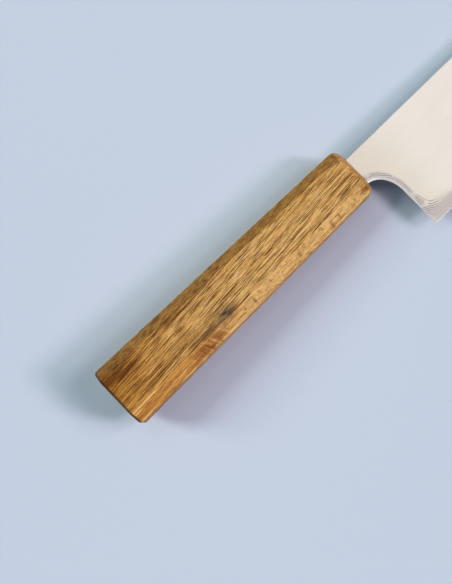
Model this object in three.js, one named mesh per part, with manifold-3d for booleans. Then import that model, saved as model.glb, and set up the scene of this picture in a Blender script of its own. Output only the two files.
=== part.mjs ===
// A bunka kitchen knife, laid on its side as it rests on a table: a three-layer steel blade with a
// clipped tip, held by its stick tang in a slotted dowel inside a one-piece octagonal wooden handle.
//
// Millimetres. In the knife's own group +X runs from the handle to the tip, +Y from the cutting edge
// to the spine and +Z out of the right flank. x = 0 is the handle's front face, y = 0 and z = 0 its axis.
// The exported group is that knife as it lies, with the origin under the middle of its box.

import * as THREE from 'three';
import { mergeVertices } from 'three/addons/utils/BufferGeometryUtils.js';
import Module from 'manifold-3d';

// Handle
const HANDLE_LENGTH = 130;
const BUTT_HEIGHT = 27.4;
const BUTT_WIDTH = 20;
const BUTT_CORNER = 4.7; // leg of the octagon's corner cut at the butt
const FRONT_HEIGHT = 22.2;
const FRONT_WIDTH = 17.2;
const FRONT_CORNER = 4.1; // the same leg at the front
const BUTT_CHAMFER = 1.2;
const FRONT_ROUND_LENGTH = 3; // rounding of the front end, along the axis
const FRONT_ROUND_DEPTH = 2.8; // the same rounding, towards the axis
const FRONT_ROUND_STEPS = 6;

// Blade outline
const SPINE_RISE = 5.6; // spine above the handle's axis
const NECK_HEIGHT = 13;
const NECK_LENGTH = 8.4; // handle's front face to the heel
const CHOIL_HEIGHT = 11.5; // height of the round between the neck and the heel's straight back
const BLADE_HEIGHT = 43;
const BLADE_LENGTH = 170; // heel to tip
const EDGE_FLAT_LENGTH = 80; // straight stretch of the edge from the heel
const TIP_RISE = 6.5; // tip above the line of the straight edge
const CLIP_LENGTH = 34; // clip's shoulder to the tip, along the spine

// Blade section
const SPINE_THICKNESS = 2.2; // at the heel
const SHOULDER_THICKNESS = 2; // at the clip's shoulder
const CORE_THICKNESS = 0.7;
const CORE_BAND = 5; // bare core steel above the edge at the heel
const EDGE_ANGLE = THREE.MathUtils.degToRad(15); // edge bevel, each side
const EDGE_THICKNESS = 0.04;

// Tang and its seat in the handle
const NECK_INLET = 4; // neck let into the handle's front
const TANG_LENGTH = 84; // behind the handle's front face
const TANG_ROOT_HEIGHT = 7.6;
const TANG_END_HEIGHT = 5;
const DOWEL_DIAMETER = 9;
const DOWEL_PAST_TANG = 4; // how far the dowel runs on behind the tang
const EPOXY_LENGTH = 6; // plug of cured epoxy behind the dowel
const SEAL_WIDTH = 0.5; // bead round the neck at the handle's mouth
const SEAL_DEPTH = 0.8;
const SEAL_PROUD = 0.2;

// Clearances
const WELD_GAP = 0.02; // between the blade's welded layers
const WOOD_GAP = 0.2; // round the dowel, the tang and the neck
const SEAL_GAP = 0.1;

const CURVE_SEGMENTS = 12;
const ROUND_SEGMENTS = 32;
const BEYOND = 5; // how far a cutter reaches past what it cuts
const MERGE_DISTANCE = 1e-4; // points nearer than this are one point

const heelX = NECK_LENGTH;
const tipX = heelX + BLADE_LENGTH;
const shoulderX = tipX - CLIP_LENGTH;
const spineY = SPINE_RISE;
const neckY = spineY - NECK_HEIGHT;
const edgeY = spineY - BLADE_HEIGHT;
const tipY = edgeY + TIP_RISE;
const coreHalf = CORE_THICKNESS / 2;
const dowelRadius = DOWEL_DIAMETER / 2;
const dowelLength = TANG_LENGTH + DOWEL_PAST_TANG;
const boreRadius = dowelRadius + WOOD_GAP;
const epoxyFront = -dowelLength - WOOD_GAP;
const boreBottom = epoxyFront - EPOXY_LENGTH - WOOD_GAP;

const wasm = await Module();
wasm.setup();

// A closed geometry as a solid that can be joined and cut.
function solidOf(geometry) {
  const bare = geometry.clone();
  bare.deleteAttribute('normal');
  bare.deleteAttribute('uv');
  const merged = mergeVertices(bare, MERGE_DISTANCE);
  return new wasm.Manifold(new wasm.Mesh({
    numProp: 3,
    vertProperties: new Float32Array(merged.attributes.position.array),
    triVerts: new Uint32Array(merged.index.array),
  }));
}

// A solid back as a geometry with flat faces.
function geometryOf(solid) {
  const mesh = solid.getMesh();
  const shared = new THREE.BufferGeometry();
  shared.setAttribute('position', new THREE.BufferAttribute(mesh.vertProperties, mesh.numProp));
  shared.setIndex(new THREE.BufferAttribute(mesh.triVerts, 1));
  const geometry = shared.toNonIndexed();
  geometry.computeVertexNormals();
  return geometry;
}

// A closed skin over a row of convex rings with equal counts, each turning counter-clockwise
// as seen from the row's far end.
function loft(rings) {
  const count = rings[0].length;
  const points = rings.flat();
  const faces = [];
  for (let ring = 0; ring + 1 < rings.length; ring++) {
    for (let side = 0; side < count; side++) {
      const next = (side + 1) % count;
      const near = ring * count;
      const far = near + count;
      faces.push(near + side, near + next, far + next);
      faces.push(near + side, far + next, far + side);
    }
  }
  const last = points.length - count;
  for (let side = 1; side + 1 < count; side++) {
    faces.push(0, side + 1, side);
    faces.push(last, last + side, last + side + 1);
  }
  const geometry = new THREE.BufferGeometry().setFromPoints(points);
  geometry.setIndex(faces);
  return geometry;
}

// A solid box between two corners.
function boxSolid(low, high) {
  const box = new THREE.Box3(new THREE.Vector3(...low), new THREE.Vector3(...high));
  const size = box.getSize(new THREE.Vector3());
  const centre = box.getCenter(new THREE.Vector3());
  const geometry = new THREE.BoxGeometry(size.x, size.y, size.z);
  return solidOf(geometry.translate(centre.x, centre.y, centre.z));
}

// A solid round bar on the handle's axis.
function barSolid(radius, fromX, toX) {
  const geometry = new THREE.CylinderGeometry(radius, radius, toX - fromX, ROUND_SEGMENTS);
  return solidOf(geometry.rotateZ(Math.PI / 2).translate((fromX + toX) / 2, 0, 0));
}

// A plate of the given outline between two heights.
function plateSolid(shape, fromZ, toZ) {
  const geometry = new THREE.ExtrudeGeometry(shape, {
    depth: toZ - fromZ,
    bevelEnabled: false,
    curveSegments: CURVE_SEGMENTS,
  });
  return solidOf(geometry.translate(0, 0, fromZ));
}

// Half the blade's thickness: each flank is one plane that thins towards the edge and the tip.
const thinningToTip = (SPINE_THICKNESS - SHOULDER_THICKNESS) / 2 / (shoulderX - heelX);
const thinningToEdge = (SPINE_THICKNESS / 2 - coreHalf) / (BLADE_HEIGHT - CORE_BAND);
function halfThickness(x, y) {
  return SPINE_THICKNESS / 2 - (x - heelX) * thinningToTip - (spineY - y) * thinningToEdge;
}
const neckHalf = halfThickness(-NECK_INLET, spineY);
const tangHalf = halfThickness(-TANG_LENGTH, TANG_ROOT_HEIGHT / 2);

// The edge from the heel to the tip: straight, then rising in one curve.
const edgeCurve = new THREE.QuadraticBezierCurve(
  new THREE.Vector2(heelX + EDGE_FLAT_LENGTH, edgeY),
  new THREE.Vector2((heelX + EDGE_FLAT_LENGTH + tipX) / 2, edgeY),
  new THREE.Vector2(tipX, tipY),
);

// Outline of the whole blank: blade, neck and stick tang.
function blankOutline() {
  const shape = new THREE.Shape();
  shape.moveTo(-TANG_LENGTH, TANG_END_HEIGHT / 2);
  shape.lineTo(-TANG_LENGTH, -TANG_END_HEIGHT / 2);
  shape.lineTo(-NECK_INLET, -TANG_ROOT_HEIGHT / 2);
  shape.lineTo(-NECK_INLET, neckY);
  shape.lineTo(0, neckY);
  shape.absellipse(0, neckY - CHOIL_HEIGHT, heelX, CHOIL_HEIGHT, Math.PI / 2, 0, true);
  shape.lineTo(heelX, edgeY);
  shape.lineTo(edgeCurve.v0.x, edgeCurve.v0.y);
  shape.quadraticCurveTo(edgeCurve.v1.x, edgeCurve.v1.y, tipX, tipY);
  shape.lineTo(shoulderX, spineY);
  shape.lineTo(-NECK_INLET, spineY);
  shape.lineTo(-NECK_INLET, TANG_ROOT_HEIGHT / 2);
  shape.closePath();
  return shape;
}

// All that lies outside the right flank's plane (side 1) or the left flank's plane (side -1).
function outsideFlank(side) {
  const low = new THREE.Vector2(-TANG_LENGTH - BEYOND, edgeY - BEYOND);
  const high = new THREE.Vector2(tipX + BEYOND, spineY + BEYOND);
  const corners = [[low.x, low.y], [high.x, low.y], [high.x, high.y], [low.x, high.y]];
  const onPlane = corners.map(([x, y]) => new THREE.Vector3(x, y, side * halfThickness(x, y)));
  const outer = corners.map(([x, y]) => new THREE.Vector3(x, y, side * (SPINE_THICKNESS + BEYOND)));
  return solidOf(loft(side > 0 ? [onPlane, outer] : [outer, onPlane]));
}

// What the sharpening of the edge takes off one side: a three-sided bar along the edge.
function outsideEdgeBevel(side) {
  const along = [new THREE.Vector2(heelX, edgeY), ...edgeCurve.getPoints(CURVE_SEGMENTS)];
  const start = along[0].clone().setX(heelX - BEYOND);
  const end = along.at(-1).clone().addScaledVector(edgeCurve.getTangent(1), BEYOND);
  const stations = [start, ...along, end];
  const reach = CORE_BAND / 2;
  const slope = Math.tan(EDGE_ANGLE);
  const rings = stations.map((point, i) => {
    const before = stations[Math.max(i - 1, 0)];
    const after = stations[Math.min(i + 1, stations.length - 1)];
    const ahead = after.clone().sub(before).normalize();
    const inward = new THREE.Vector2(-ahead.y, ahead.x);
    const corner = (distance, z) => {
      const place = point.clone().addScaledVector(inward, distance);
      return new THREE.Vector3(place.x, place.y, side * z);
    };
    const atEdge = EDGE_THICKNESS / 2;
    const outerLow = corner(-reach, atEdge - reach * slope);
    const inner = corner(reach, atEdge + reach * slope);
    const outerHigh = corner(-reach, atEdge + reach * slope);
    return side > 0 ? [outerLow, inner, outerHigh] : [outerLow, outerHigh, inner];
  });
  return solidOf(loft(rings));
}

// The hard middle layer, which carries the edge.
function bladeCore() {
  let core = plateSolid(blankOutline(), -coreHalf, coreHalf);
  for (const side of [1, -1]) {
    core = core.subtract(outsideFlank(side)).subtract(outsideEdgeBevel(side));
  }
  return geometryOf(core);
}

// A soft outer layer, ground away to nothing above the bare core.
function cladding(side) {
  const inner = coreHalf + WELD_GAP;
  const outer = SPINE_THICKNESS;
  const plate = side > 0
    ? plateSolid(blankOutline(), inner, outer)
    : plateSolid(blankOutline(), -outer, -inner);
  return geometryOf(plate.subtract(outsideFlank(side)));
}

// Space for the neck and the tang, with clearance all round.
function tangSeat() {
  const tang = new THREE.Shape();
  const rootHalf = TANG_ROOT_HEIGHT / 2 + WOOD_GAP;
  const endHalf = TANG_END_HEIGHT / 2 + WOOD_GAP;
  tang.moveTo(BEYOND, rootHalf);
  tang.lineTo(-NECK_INLET, rootHalf);
  tang.lineTo(-TANG_LENGTH, endHalf);
  tang.lineTo(-dowelLength - BEYOND, endHalf);
  tang.lineTo(-dowelLength - BEYOND, -endHalf);
  tang.lineTo(-TANG_LENGTH, -endHalf);
  tang.lineTo(-NECK_INLET, -rootHalf);
  tang.lineTo(BEYOND, -rootHalf);
  tang.closePath();
  const slot = plateSolid(tang, -tangHalf - WOOD_GAP, tangHalf + WOOD_GAP);
  return slot.add(boxSolid(
    [-NECK_INLET - WOOD_GAP, neckY - WOOD_GAP, -neckHalf - WOOD_GAP],
    [BEYOND, spineY + WOOD_GAP, neckHalf + WOOD_GAP],
  ));
}

// Block round the neck at the handle's mouth, as far out as the seal plus a margin.
function mouthBlock(margin, fromX, toX) {
  const out = SEAL_WIDTH + margin;
  return boxSolid(
    [fromX, neckY - out, -neckHalf - out],
    [toX, spineY + out, neckHalf + out],
  );
}

// Octagon across the handle at x, set in by the given depth.
function octagon(x, inset) {
  const share = 1 + x / HANDLE_LENGTH;
  const halfHeight = THREE.MathUtils.lerp(BUTT_HEIGHT, FRONT_HEIGHT, share) / 2 - inset;
  const halfWidth = THREE.MathUtils.lerp(BUTT_WIDTH, FRONT_WIDTH, share) / 2 - inset;
  const corner = THREE.MathUtils.lerp(BUTT_CORNER, FRONT_CORNER, share) - inset * (2 - Math.SQRT2);
  const flatHeight = halfHeight - corner;
  const flatWidth = halfWidth - corner;
  return [
    [halfHeight, -flatWidth], [halfHeight, flatWidth], [flatHeight, halfWidth], [-flatHeight, halfWidth],
    [-halfHeight, flatWidth], [-halfHeight, -flatWidth], [-flatHeight, -halfWidth], [flatHeight, -halfWidth],
  ].map(([y, z]) => new THREE.Vector3(x, y, z));
}

// The octagons that the handle's skin runs over, from the chamfered butt to the rounded front.
function handleRings() {
  const rings = [octagon(-HANDLE_LENGTH, BUTT_CHAMFER), octagon(-HANDLE_LENGTH + BUTT_CHAMFER, 0)];
  for (let step = 0; step <= FRONT_ROUND_STEPS; step++) {
    const turn = (step / FRONT_ROUND_STEPS) * (Math.PI / 2);
    const x = -FRONT_ROUND_LENGTH * (1 - Math.sin(turn));
    rings.push(octagon(x, FRONT_ROUND_DEPTH * (1 - Math.cos(turn))));
  }
  return rings;
}

function handleBody() {
  const body = solidOf(loft(handleRings()));
  return geometryOf(body
    .subtract(barSolid(boreRadius, boreBottom, BEYOND))
    .subtract(tangSeat())
    .subtract(mouthBlock(SEAL_GAP, -SEAL_DEPTH - SEAL_GAP, BEYOND)));
}

// One half of the split dowel, on the right (side 1) or the left (side -1) of the tang.
function dowelHalf(side) {
  const reach = dowelRadius + BEYOND;
  const split = WOOD_GAP / 2;
  const otherSide = boxSolid(
    [-dowelLength - BEYOND, -reach, side > 0 ? -reach : -split],
    [BEYOND, reach, side > 0 ? split : reach],
  );
  return geometryOf(barSolid(dowelRadius, -dowelLength, 0)
    .subtract(otherSide)
    .subtract(tangSeat())
    .subtract(mouthBlock(SEAL_GAP, -SEAL_DEPTH - SEAL_GAP, BEYOND)));
}

// Cured epoxy at the bottom of the bore, with the tongue that fills the slot behind the tang.
function tangEpoxy() {
  const plug = barSolid(dowelRadius, epoxyFront - EPOXY_LENGTH, epoxyFront);
  const tongue = boxSolid(
    [epoxyFront - EPOXY_LENGTH / 2, -TANG_END_HEIGHT / 2, -tangHalf],
    [-TANG_LENGTH - WOOD_GAP, TANG_END_HEIGHT / 2, tangHalf],
  );
  return geometryOf(plug.add(tongue));
}

// The bead that seals the neck in the handle's mouth.
function neckSeal() {
  const bead = mouthBlock(0, -SEAL_DEPTH, SEAL_PROUD);
  const neck = boxSolid(
    [-BEYOND, neckY - SEAL_GAP, -neckHalf - SEAL_GAP],
    [BEYOND, spineY + SEAL_GAP, neckHalf + SEAL_GAP],
  );
  return geometryOf(bead.subtract(neck));
}

const oak = new THREE.MeshStandardMaterial({ color: 0x96682c, roughness: 0.5, metalness: 0 });
const dowelWood = new THREE.MeshStandardMaterial({ color: 0xc9a877, roughness: 0.7, metalness: 0 });
const claddingSteel = new THREE.MeshStandardMaterial({ color: 0xd6d0c6, roughness: 0.3, metalness: 1 });
const coreSteel = new THREE.MeshStandardMaterial({ color: 0xb4b0b2, roughness: 0.25, metalness: 1 });
const epoxy = new THREE.MeshStandardMaterial({ color: 0xc2a45a, roughness: 0.4, metalness: 0 });
const sealant = new THREE.MeshStandardMaterial({ color: 0x2a1d12, roughness: 0.6, metalness: 0 });

const knife = new THREE.Group();

function addPart(name, geometry, material) {
  const mesh = new THREE.Mesh(geometry, material.clone());
  mesh.name = name;
  knife.add(mesh);
  return mesh;
}

const core = addPart('blade_core', bladeCore(), coreSteel);
addPart('right_cladding', cladding(1), claddingSteel);
const lowerCladding = addPart('left_cladding', cladding(-1), claddingSteel);
addPart('handle_body', handleBody(), oak);
addPart('right_dowel_half', dowelHalf(1), dowelWood);
addPart('left_dowel_half', dowelHalf(-1), dowelWood);
addPart('tang_epoxy', tangEpoxy(), epoxy);
addPart('neck_seal', neckSeal(), sealant);

// Slope of the table under the knife: the line that touches the handle's front and the blade from below.
function tableSlope() {
  const handle = handleRings().flat();
  const blade = [core, lowerCladding].flatMap(({ geometry: { attributes: { position } } }) => (
    Array.from({ length: position.count }, (_, i) => new THREE.Vector3().fromBufferAttribute(position, i))
  )).filter((point) => point.x > heelX);
  const slopes = handle.map((h) => blade.reduce(
    (least, b) => Math.min(least, (b.z - h.z) / (b.x - h.x)),
    Infinity,
  ));
  return Math.max(...slopes);
}

// The knife lies on its left side, tip down, over an origin under the middle of its box.
knife.rotation.y = Math.atan(tableSlope());
const lying = new THREE.Group();
lying.add(knife);
const box = new THREE.Box3().setFromObject(lying, true);
const middle = box.getCenter(new THREE.Vector3());
knife.position.set(-middle.x, -middle.y, -box.min.z);

export default lying;
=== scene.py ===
"""Looks for a bunka kitchen knife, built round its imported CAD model.

Sizes are in millimetres in the knife's own frame: +X runs from the handle to the tip, +Y from the
cutting edge to the spine and +Z out of the right flank, and x = 0 is the handle's front face.
Lying takes that frame to the row frame, in metres, in which every finished piece has its mesh.
"""

from __future__ import annotations

import logging
import math
from dataclasses import dataclass
from enum import Enum
from typing import Any, Sequence, Union

import bmesh
import bpy
from mathutils import Matrix, Vector

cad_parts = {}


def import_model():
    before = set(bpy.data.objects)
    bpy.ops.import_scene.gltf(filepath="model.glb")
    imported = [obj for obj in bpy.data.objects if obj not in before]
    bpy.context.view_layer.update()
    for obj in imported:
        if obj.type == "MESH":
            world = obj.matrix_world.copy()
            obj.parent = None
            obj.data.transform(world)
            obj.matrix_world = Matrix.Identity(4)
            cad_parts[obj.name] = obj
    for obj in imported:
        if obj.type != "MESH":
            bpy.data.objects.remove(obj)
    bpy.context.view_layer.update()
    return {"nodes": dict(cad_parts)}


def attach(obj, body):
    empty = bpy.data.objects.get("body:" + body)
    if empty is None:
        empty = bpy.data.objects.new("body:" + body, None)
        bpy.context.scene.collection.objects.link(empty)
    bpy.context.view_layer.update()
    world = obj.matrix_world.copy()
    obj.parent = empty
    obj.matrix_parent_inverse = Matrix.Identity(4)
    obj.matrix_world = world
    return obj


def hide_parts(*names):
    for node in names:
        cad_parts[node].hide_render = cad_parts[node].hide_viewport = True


LOG = logging.getLogger("bunka_knife")
MM = 0.001
BODY = "root"
SAME_POINT = 1e-6  # metres; points nearer than this are one point
QUARTER = math.pi / 2  # a quarter turn

Number = Union["Signal", float]
Colour = tuple[float, float, float]
Triple = tuple[float, float, float]


def srgb(red: int, green: int, blue: int) -> Colour:
    """Turn screen levels from 0 to 255 into the linear colour that nodes take."""
    levels = (red / 255, green / 255, blue / 255)
    return tuple(c / 12.92 if c <= 0.04045 else ((c + 0.055) / 1.055) ** 2.4 for c in levels)


class Signal:
    """One output in a node tree; arithmetic on it adds Math nodes."""

    def __init__(self, graph: Graph, socket: bpy.types.NodeSocket | None) -> None:
        """Wrap a socket of a graph."""
        self.graph = graph
        self.socket = socket

    def __add__(self, other: Number) -> Signal:
        """Add a value."""
        return self.graph.math("ADD", self, other)

    def __radd__(self, other: Number) -> Signal:
        """Add this to a value."""
        return self.graph.math("ADD", other, self)

    def __sub__(self, other: Number) -> Signal:
        """Take a value away."""
        return self.graph.math("SUBTRACT", self, other)

    def __rsub__(self, other: Number) -> Signal:
        """Take this away from a value."""
        return self.graph.math("SUBTRACT", other, self)

    def __mul__(self, other: Number) -> Signal:
        """Multiply by a value."""
        return self.graph.math("MULTIPLY", self, other)

    def __rmul__(self, other: Number) -> Signal:
        """Multiply a value by this."""
        return self.graph.math("MULTIPLY", other, self)

    def __truediv__(self, other: Number) -> Signal:
        """Divide by a value."""
        return self.graph.math("DIVIDE", self, other)

    def __rtruediv__(self, other: Number) -> Signal:
        """Divide a value by this."""
        return self.graph.math("DIVIDE", other, self)

    def __pow__(self, other: Number) -> Signal:
        """Raise to a power."""
        return self.graph.math("POWER", self, other)

    def __abs__(self) -> Signal:
        """Drop the sign."""
        return self.graph.math("ABSOLUTE", self)

    def also(self, output: str) -> Signal:
        """Return another output of the node that this one comes from."""
        return Signal(self.graph, self.graph.pick(self.socket.node.outputs, output))


class Graph:
    """A node tree that is written as expressions."""

    def __init__(self, tree: bpy.types.NodeTree) -> None:
        """Start writing in a tree."""
        self.tree = tree

    @staticmethod
    def pick(sockets: Any, key: Union[str, int]) -> bpy.types.NodeSocket:
        """Find a socket by its place in the row, or the socket in use that has that name.

        Args:
            sockets: A node's inputs or outputs.
            key: Index or name.

        Returns:
            The socket.
        """
        if isinstance(key, int):
            return sockets[key]
        return next(s for s in sockets if s.name == key and s.enabled)

    def node(
        self,
        kind: str,
        settings: dict[str, Any] | None = None,
        sockets: dict[Any, Any] | None = None,
        output: Union[str, int] = 0,
    ) -> Signal:
        """Add a node.

        Args:
            kind: The node's type.
            settings: Its properties, set first; "stops" are a colour ramp's places and colours.
            sockets: A value or a signal, or a list of signals, for each input by name or index.
            output: The output to return.

        Returns:
            The output as a signal, which is empty for a node that ends the tree.
        """
        made = self.tree.nodes.new(kind)
        for name, value in (settings or {}).items():
            if name == "stops":
                self.set_stops(made.color_ramp, value)
            else:
                setattr(made, name, value)
        for key, value in (sockets or {}).items():
            socket = self.pick(made.inputs, key)
            for item in value if isinstance(value, list) else [value]:
                self.feed(socket, item)
        return Signal(self, self.pick(made.outputs, output) if made.outputs else None)

    def feed(self, socket: bpy.types.NodeSocket, value: Any) -> None:
        """Link a signal to a socket, or set the socket's own value.

        Args:
            socket: The input.
            value: A signal, number, colour, vector or material.
        """
        if isinstance(value, Signal):
            self.tree.links.new(value.socket, socket)
        elif socket.type == "RGBA":
            socket.default_value = (*value, 1.0)
        else:
            socket.default_value = value

    @staticmethod
    def set_stops(ramp: bpy.types.ColorRamp, stops: Sequence[tuple[float, Colour]]) -> None:
        """Give a colour ramp its stops.

        Args:
            ramp: The ramp.
            stops: Places from 0 to 1, in order, with their colours.
        """
        while len(ramp.elements) < len(stops):
            ramp.elements.new(1.0)
        for element, (place, colour) in zip(ramp.elements, stops):
            element.position = place
            element.color = (*colour, 1.0)

    def math(self, operation: str, *terms: Number) -> Signal:
        """Add a Math node on one to three terms."""
        return self.node("ShaderNodeMath", {"operation": operation}, dict(enumerate(terms)))

    def most(self, first: Number, second: Number) -> Signal:
        """Return the larger of two numbers."""
        return self.math("MAXIMUM", first, second)

    def vector(self, operation: str, *terms: Any) -> Signal:
        """Add a Vector Math node."""
        return self.node("ShaderNodeVectorMath", {"operation": operation}, dict(enumerate(terms)))

    def split(self, vector: Signal) -> tuple[Signal, Signal, Signal]:
        """Return a vector's three numbers."""
        first = self.node("ShaderNodeSeparateXYZ", {}, {"Vector": vector})
        return first, first.also("Y"), first.also("Z")

    def join(self, x: Number, y: Number, z: Number) -> Signal:
        """Return the vector of three numbers."""
        return self.node("ShaderNodeCombineXYZ", {}, {"X": x, "Y": y, "Z": z})

    def step(self, value: Signal, low: Number, high: Number) -> Signal:
        """Rise smoothly from 0 at low to 1 at high, or fall where low is the larger."""
        sockets = {"Value": value, "From Min": low, "From Max": high}
        return self.node("ShaderNodeMapRange", {"interpolation_type": "SMOOTHSTEP"}, sockets)

    def mix(self, factor: Number, first: Any, second: Any, blend: str = "MIX") -> Signal:
        """Mix two colours or signals; the factor is the share of the second one."""
        settings = {"data_type": "RGBA", "blend_type": blend, "clamp_factor": True}
        return self.node("ShaderNodeMix", settings, {"Factor": factor, "A": first, "B": second}, "Result")

    def layered(self, base: Any, *layers: tuple[Number, Any]) -> Signal:
        """Lay colours over one another.

        Args:
            base: The undermost colour or signal.
            layers: The share and the colour or signal of each further layer, in order.

        Returns:
            The colour that is seen.
        """
        for share, colour in layers:
            base = self.mix(share, base, colour)
        return base


class Finish(Graph):
    """The shader of one material: a Principled surface and its bump."""

    def __init__(self, name: str) -> None:
        """Start a material of that name."""
        self.material = bpy.data.materials.new(name)
        self.material.use_nodes = True
        super().__init__(self.material.node_tree)
        self.tree.nodes.clear()

    def surface(self, sockets: dict[str, Any]) -> bpy.types.Material:
        """End the shader in a Principled surface.

        Args:
            sockets: Values or signals for the surface's sockets.

        Returns:
            The material.
        """
        shader = self.node("ShaderNodeBsdfPrincipled", {}, sockets)
        self.node("ShaderNodeOutputMaterial", {}, {"Surface": shader})
        return self.material

    def bump(self, height: Signal, depth: float) -> Signal:
        """Turn a height into a bent normal, where a height of 1 is the depth in millimetres."""
        return self.node("ShaderNodeBump", {}, {"Strength": 1.0, "Distance": depth * MM, "Height": height})


class Recipe(Graph):
    """A Geometry Nodes tree with named inputs for its sizes."""

    def __init__(self, name: str) -> None:
        """Start a tree of that name with a geometry in and out."""
        super().__init__(bpy.data.node_groups.new(name, "GeometryNodeTree"))
        for way in ("INPUT", "OUTPUT"):
            self.tree.interface.new_socket("Geometry", in_out=way, socket_type="NodeSocketGeometry")
        self.entry = self.tree.nodes.new("NodeGroupInput")
        self.values: dict[str, Any] = {}

    def start(self) -> Signal:
        """Return the geometry that comes in."""
        return Signal(self, self.entry.outputs[0])

    def take(self, name: str, value: Any) -> Signal:
        """Add a named input.

        Args:
            name: The input's name.
            value: A count, a size or a triple, which the modifier is given.

        Returns:
            The input as a signal.
        """
        kinds = {int: "NodeSocketInt", float: "NodeSocketFloat", Vector: "NodeSocketVector"}
        item = self.tree.interface.new_socket(name, in_out="INPUT", socket_type=kinds[type(value)])
        self.values[item.identifier] = value
        return Signal(self, next(o for o in self.entry.outputs if o.identifier == item.identifier))

    def placed(self, geometry: Signal, place: Matrix) -> Signal:
        """Move a geometry.

        Args:
            geometry: What is moved.
            place: A matrix that turns, moves and scales evenly.

        Returns:
            The moved geometry.
        """
        location, turn, scale = place.decompose()
        sockets = {"Geometry": geometry, "Translation": location, "Rotation": turn.to_euler(), "Scale": scale}
        return self.node("GeometryNodeTransform", {}, sockets)

    def make(self, piece: bpy.types.Object, geometry: Signal, material: bpy.types.Material) -> None:
        """End the tree, run it on a piece and keep the result as the piece's plain mesh.

        Args:
            piece: The object whose mesh goes in.
            geometry: What comes out.
            material: What it is made of.
        """
        real = self.node("GeometryNodeRealizeInstances", {}, {"Geometry": geometry})
        dressed = self.node("GeometryNodeSetMaterial", {}, {"Geometry": real, "Material": material})
        self.node("NodeGroupOutput", {}, {0: dressed})
        modifier = piece.modifiers.new(self.tree.name, "NODES")
        modifier.node_group = self.tree
        for identifier, value in self.values.items():
            modifier[identifier] = value
        keep_result(piece)


def new_piece(name: str, mesh: bpy.types.Mesh) -> bpy.types.Object:
    """Put a mesh into the scene as a piece at the origin.

    Args:
        name: The piece's name.
        mesh: Its mesh, in the row frame.

    Returns:
        The piece.
    """
    piece = bpy.data.objects.new(name, mesh)
    bpy.context.scene.collection.objects.link(piece)
    return piece


def new_mesh(name: str, build: bmesh.types.BMesh) -> bpy.types.Mesh:
    """Turn what was built into a mesh.

    Args:
        name: The mesh's name.
        build: What was built; it is freed.

    Returns:
        The mesh.
    """
    mesh = bpy.data.meshes.new(name)
    build.to_mesh(mesh)
    build.free()
    return mesh


def keep_result(piece: bpy.types.Object) -> None:
    """Replace a piece's mesh by what its modifiers make of it, and remove them.

    Args:
        piece: The piece.
    """
    graph = bpy.context.evaluated_depsgraph_get()
    piece.data = bpy.data.meshes.new_from_object(piece.evaluated_get(graph))
    piece.data.name = piece.name
    piece.modifiers.clear()


def smooth(piece: bpy.types.Object, sharp: float) -> None:
    """Shade a piece smoothly, with the large faces flat and steep edges sharp.

    Args:
        piece: The piece.
        sharp: The angle from which an edge is sharp, in degrees.
    """
    piece.data.shade_smooth()
    piece.data.set_sharp_from_angle(angle=math.radians(sharp))
    weighted = piece.modifiers.new("weighted", "WEIGHTED_NORMAL")
    weighted.keep_sharp = True
    keep_result(piece)


def settle(piece: bpy.types.Object, slot: str, *nodes: str) -> None:
    """Fix a finished piece to the knife.

    Args:
        piece: The piece.
        slot: The record's material slot; not used.
        nodes: The CAD nodes that it stands for.
    """
    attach(piece, BODY)
    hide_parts(*nodes)
    LOG.info("%s stands for %s, %d faces", piece.name, ", ".join(nodes), len(piece.data.polygons))


@dataclass(frozen=True)
class Lying:
    """How the knife lies: where its own frame is in the row frame."""

    origin: Triple = (-23.9711, 11.8620, 8.4844)
    pitch: float = 2.65025  # degrees, tip down

    def matrix(self) -> Matrix:
        """Return the matrix from the knife's millimetres to the row's metres."""
        turn = Matrix.Rotation(math.radians(self.pitch), 4, "Y")
        return Matrix.Scale(MM, 4) @ Matrix.Translation(self.origin) @ turn

    def place(self, graph: Graph, turn: Matrix | None = None) -> Signal:
        """Add the nodes that say where on the knife a point of a surface is.

        Args:
            graph: The shader.
            turn: A further turn of the knife's frame.

        Returns:
            The place in millimetres.
        """
        back = self.matrix().inverted()
        if turn is not None:
            back = turn @ back
        location, rotation, scale = back.decompose()
        point = graph.node("ShaderNodeTexCoord", {}, {}, "Object")
        sockets = {"Vector": point, "Location": location, "Rotation": rotation.to_euler(), "Scale": scale}
        return graph.node("ShaderNodeMapping", {"vector_type": "POINT"}, sockets)


LYING = Lying()


@dataclass(frozen=True)
class Rise:
    """A smooth change from nothing at one value to its most at another."""

    start: float
    end: float
    most: float = 1.0

    def at(self, value: Signal) -> Signal:
        """Return how far it has come at a value."""
        return self.most * value.graph.step(value, self.start, self.end)


@dataclass(frozen=True)
class Pattern:
    """A texture with its own spread along X and across it, in millimetres."""

    along: float
    across: float
    detail: float = 2.0  # how many finer layers a noise has
    roughness: float = 0.5  # how strong they are

    def sockets(self, place: Signal) -> dict[str, Any]:
        """Return the inputs that any texture takes: a place, counted in spreads."""
        shares = (1 / self.along, 1 / self.across, 1 / self.across)
        return {"Vector": place.graph.vector("MULTIPLY", place, shares), "Scale": 1.0}

    def noise(self, place: Signal) -> Signal:
        """Add soft noise from 0 to 1; its Color output is three of them."""
        sockets = {**self.sockets(place), "Detail": self.detail, "Roughness": self.roughness}
        return place.graph.node("ShaderNodeTexNoise", {}, sockets, "Fac")

    def cells(self, place: Signal) -> Signal:
        """Add scattered seeds; return the distance to the nearest, whose Color output is random."""
        return place.graph.node("ShaderNodeTexVoronoi", {}, self.sockets(place), "Distance")


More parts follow.
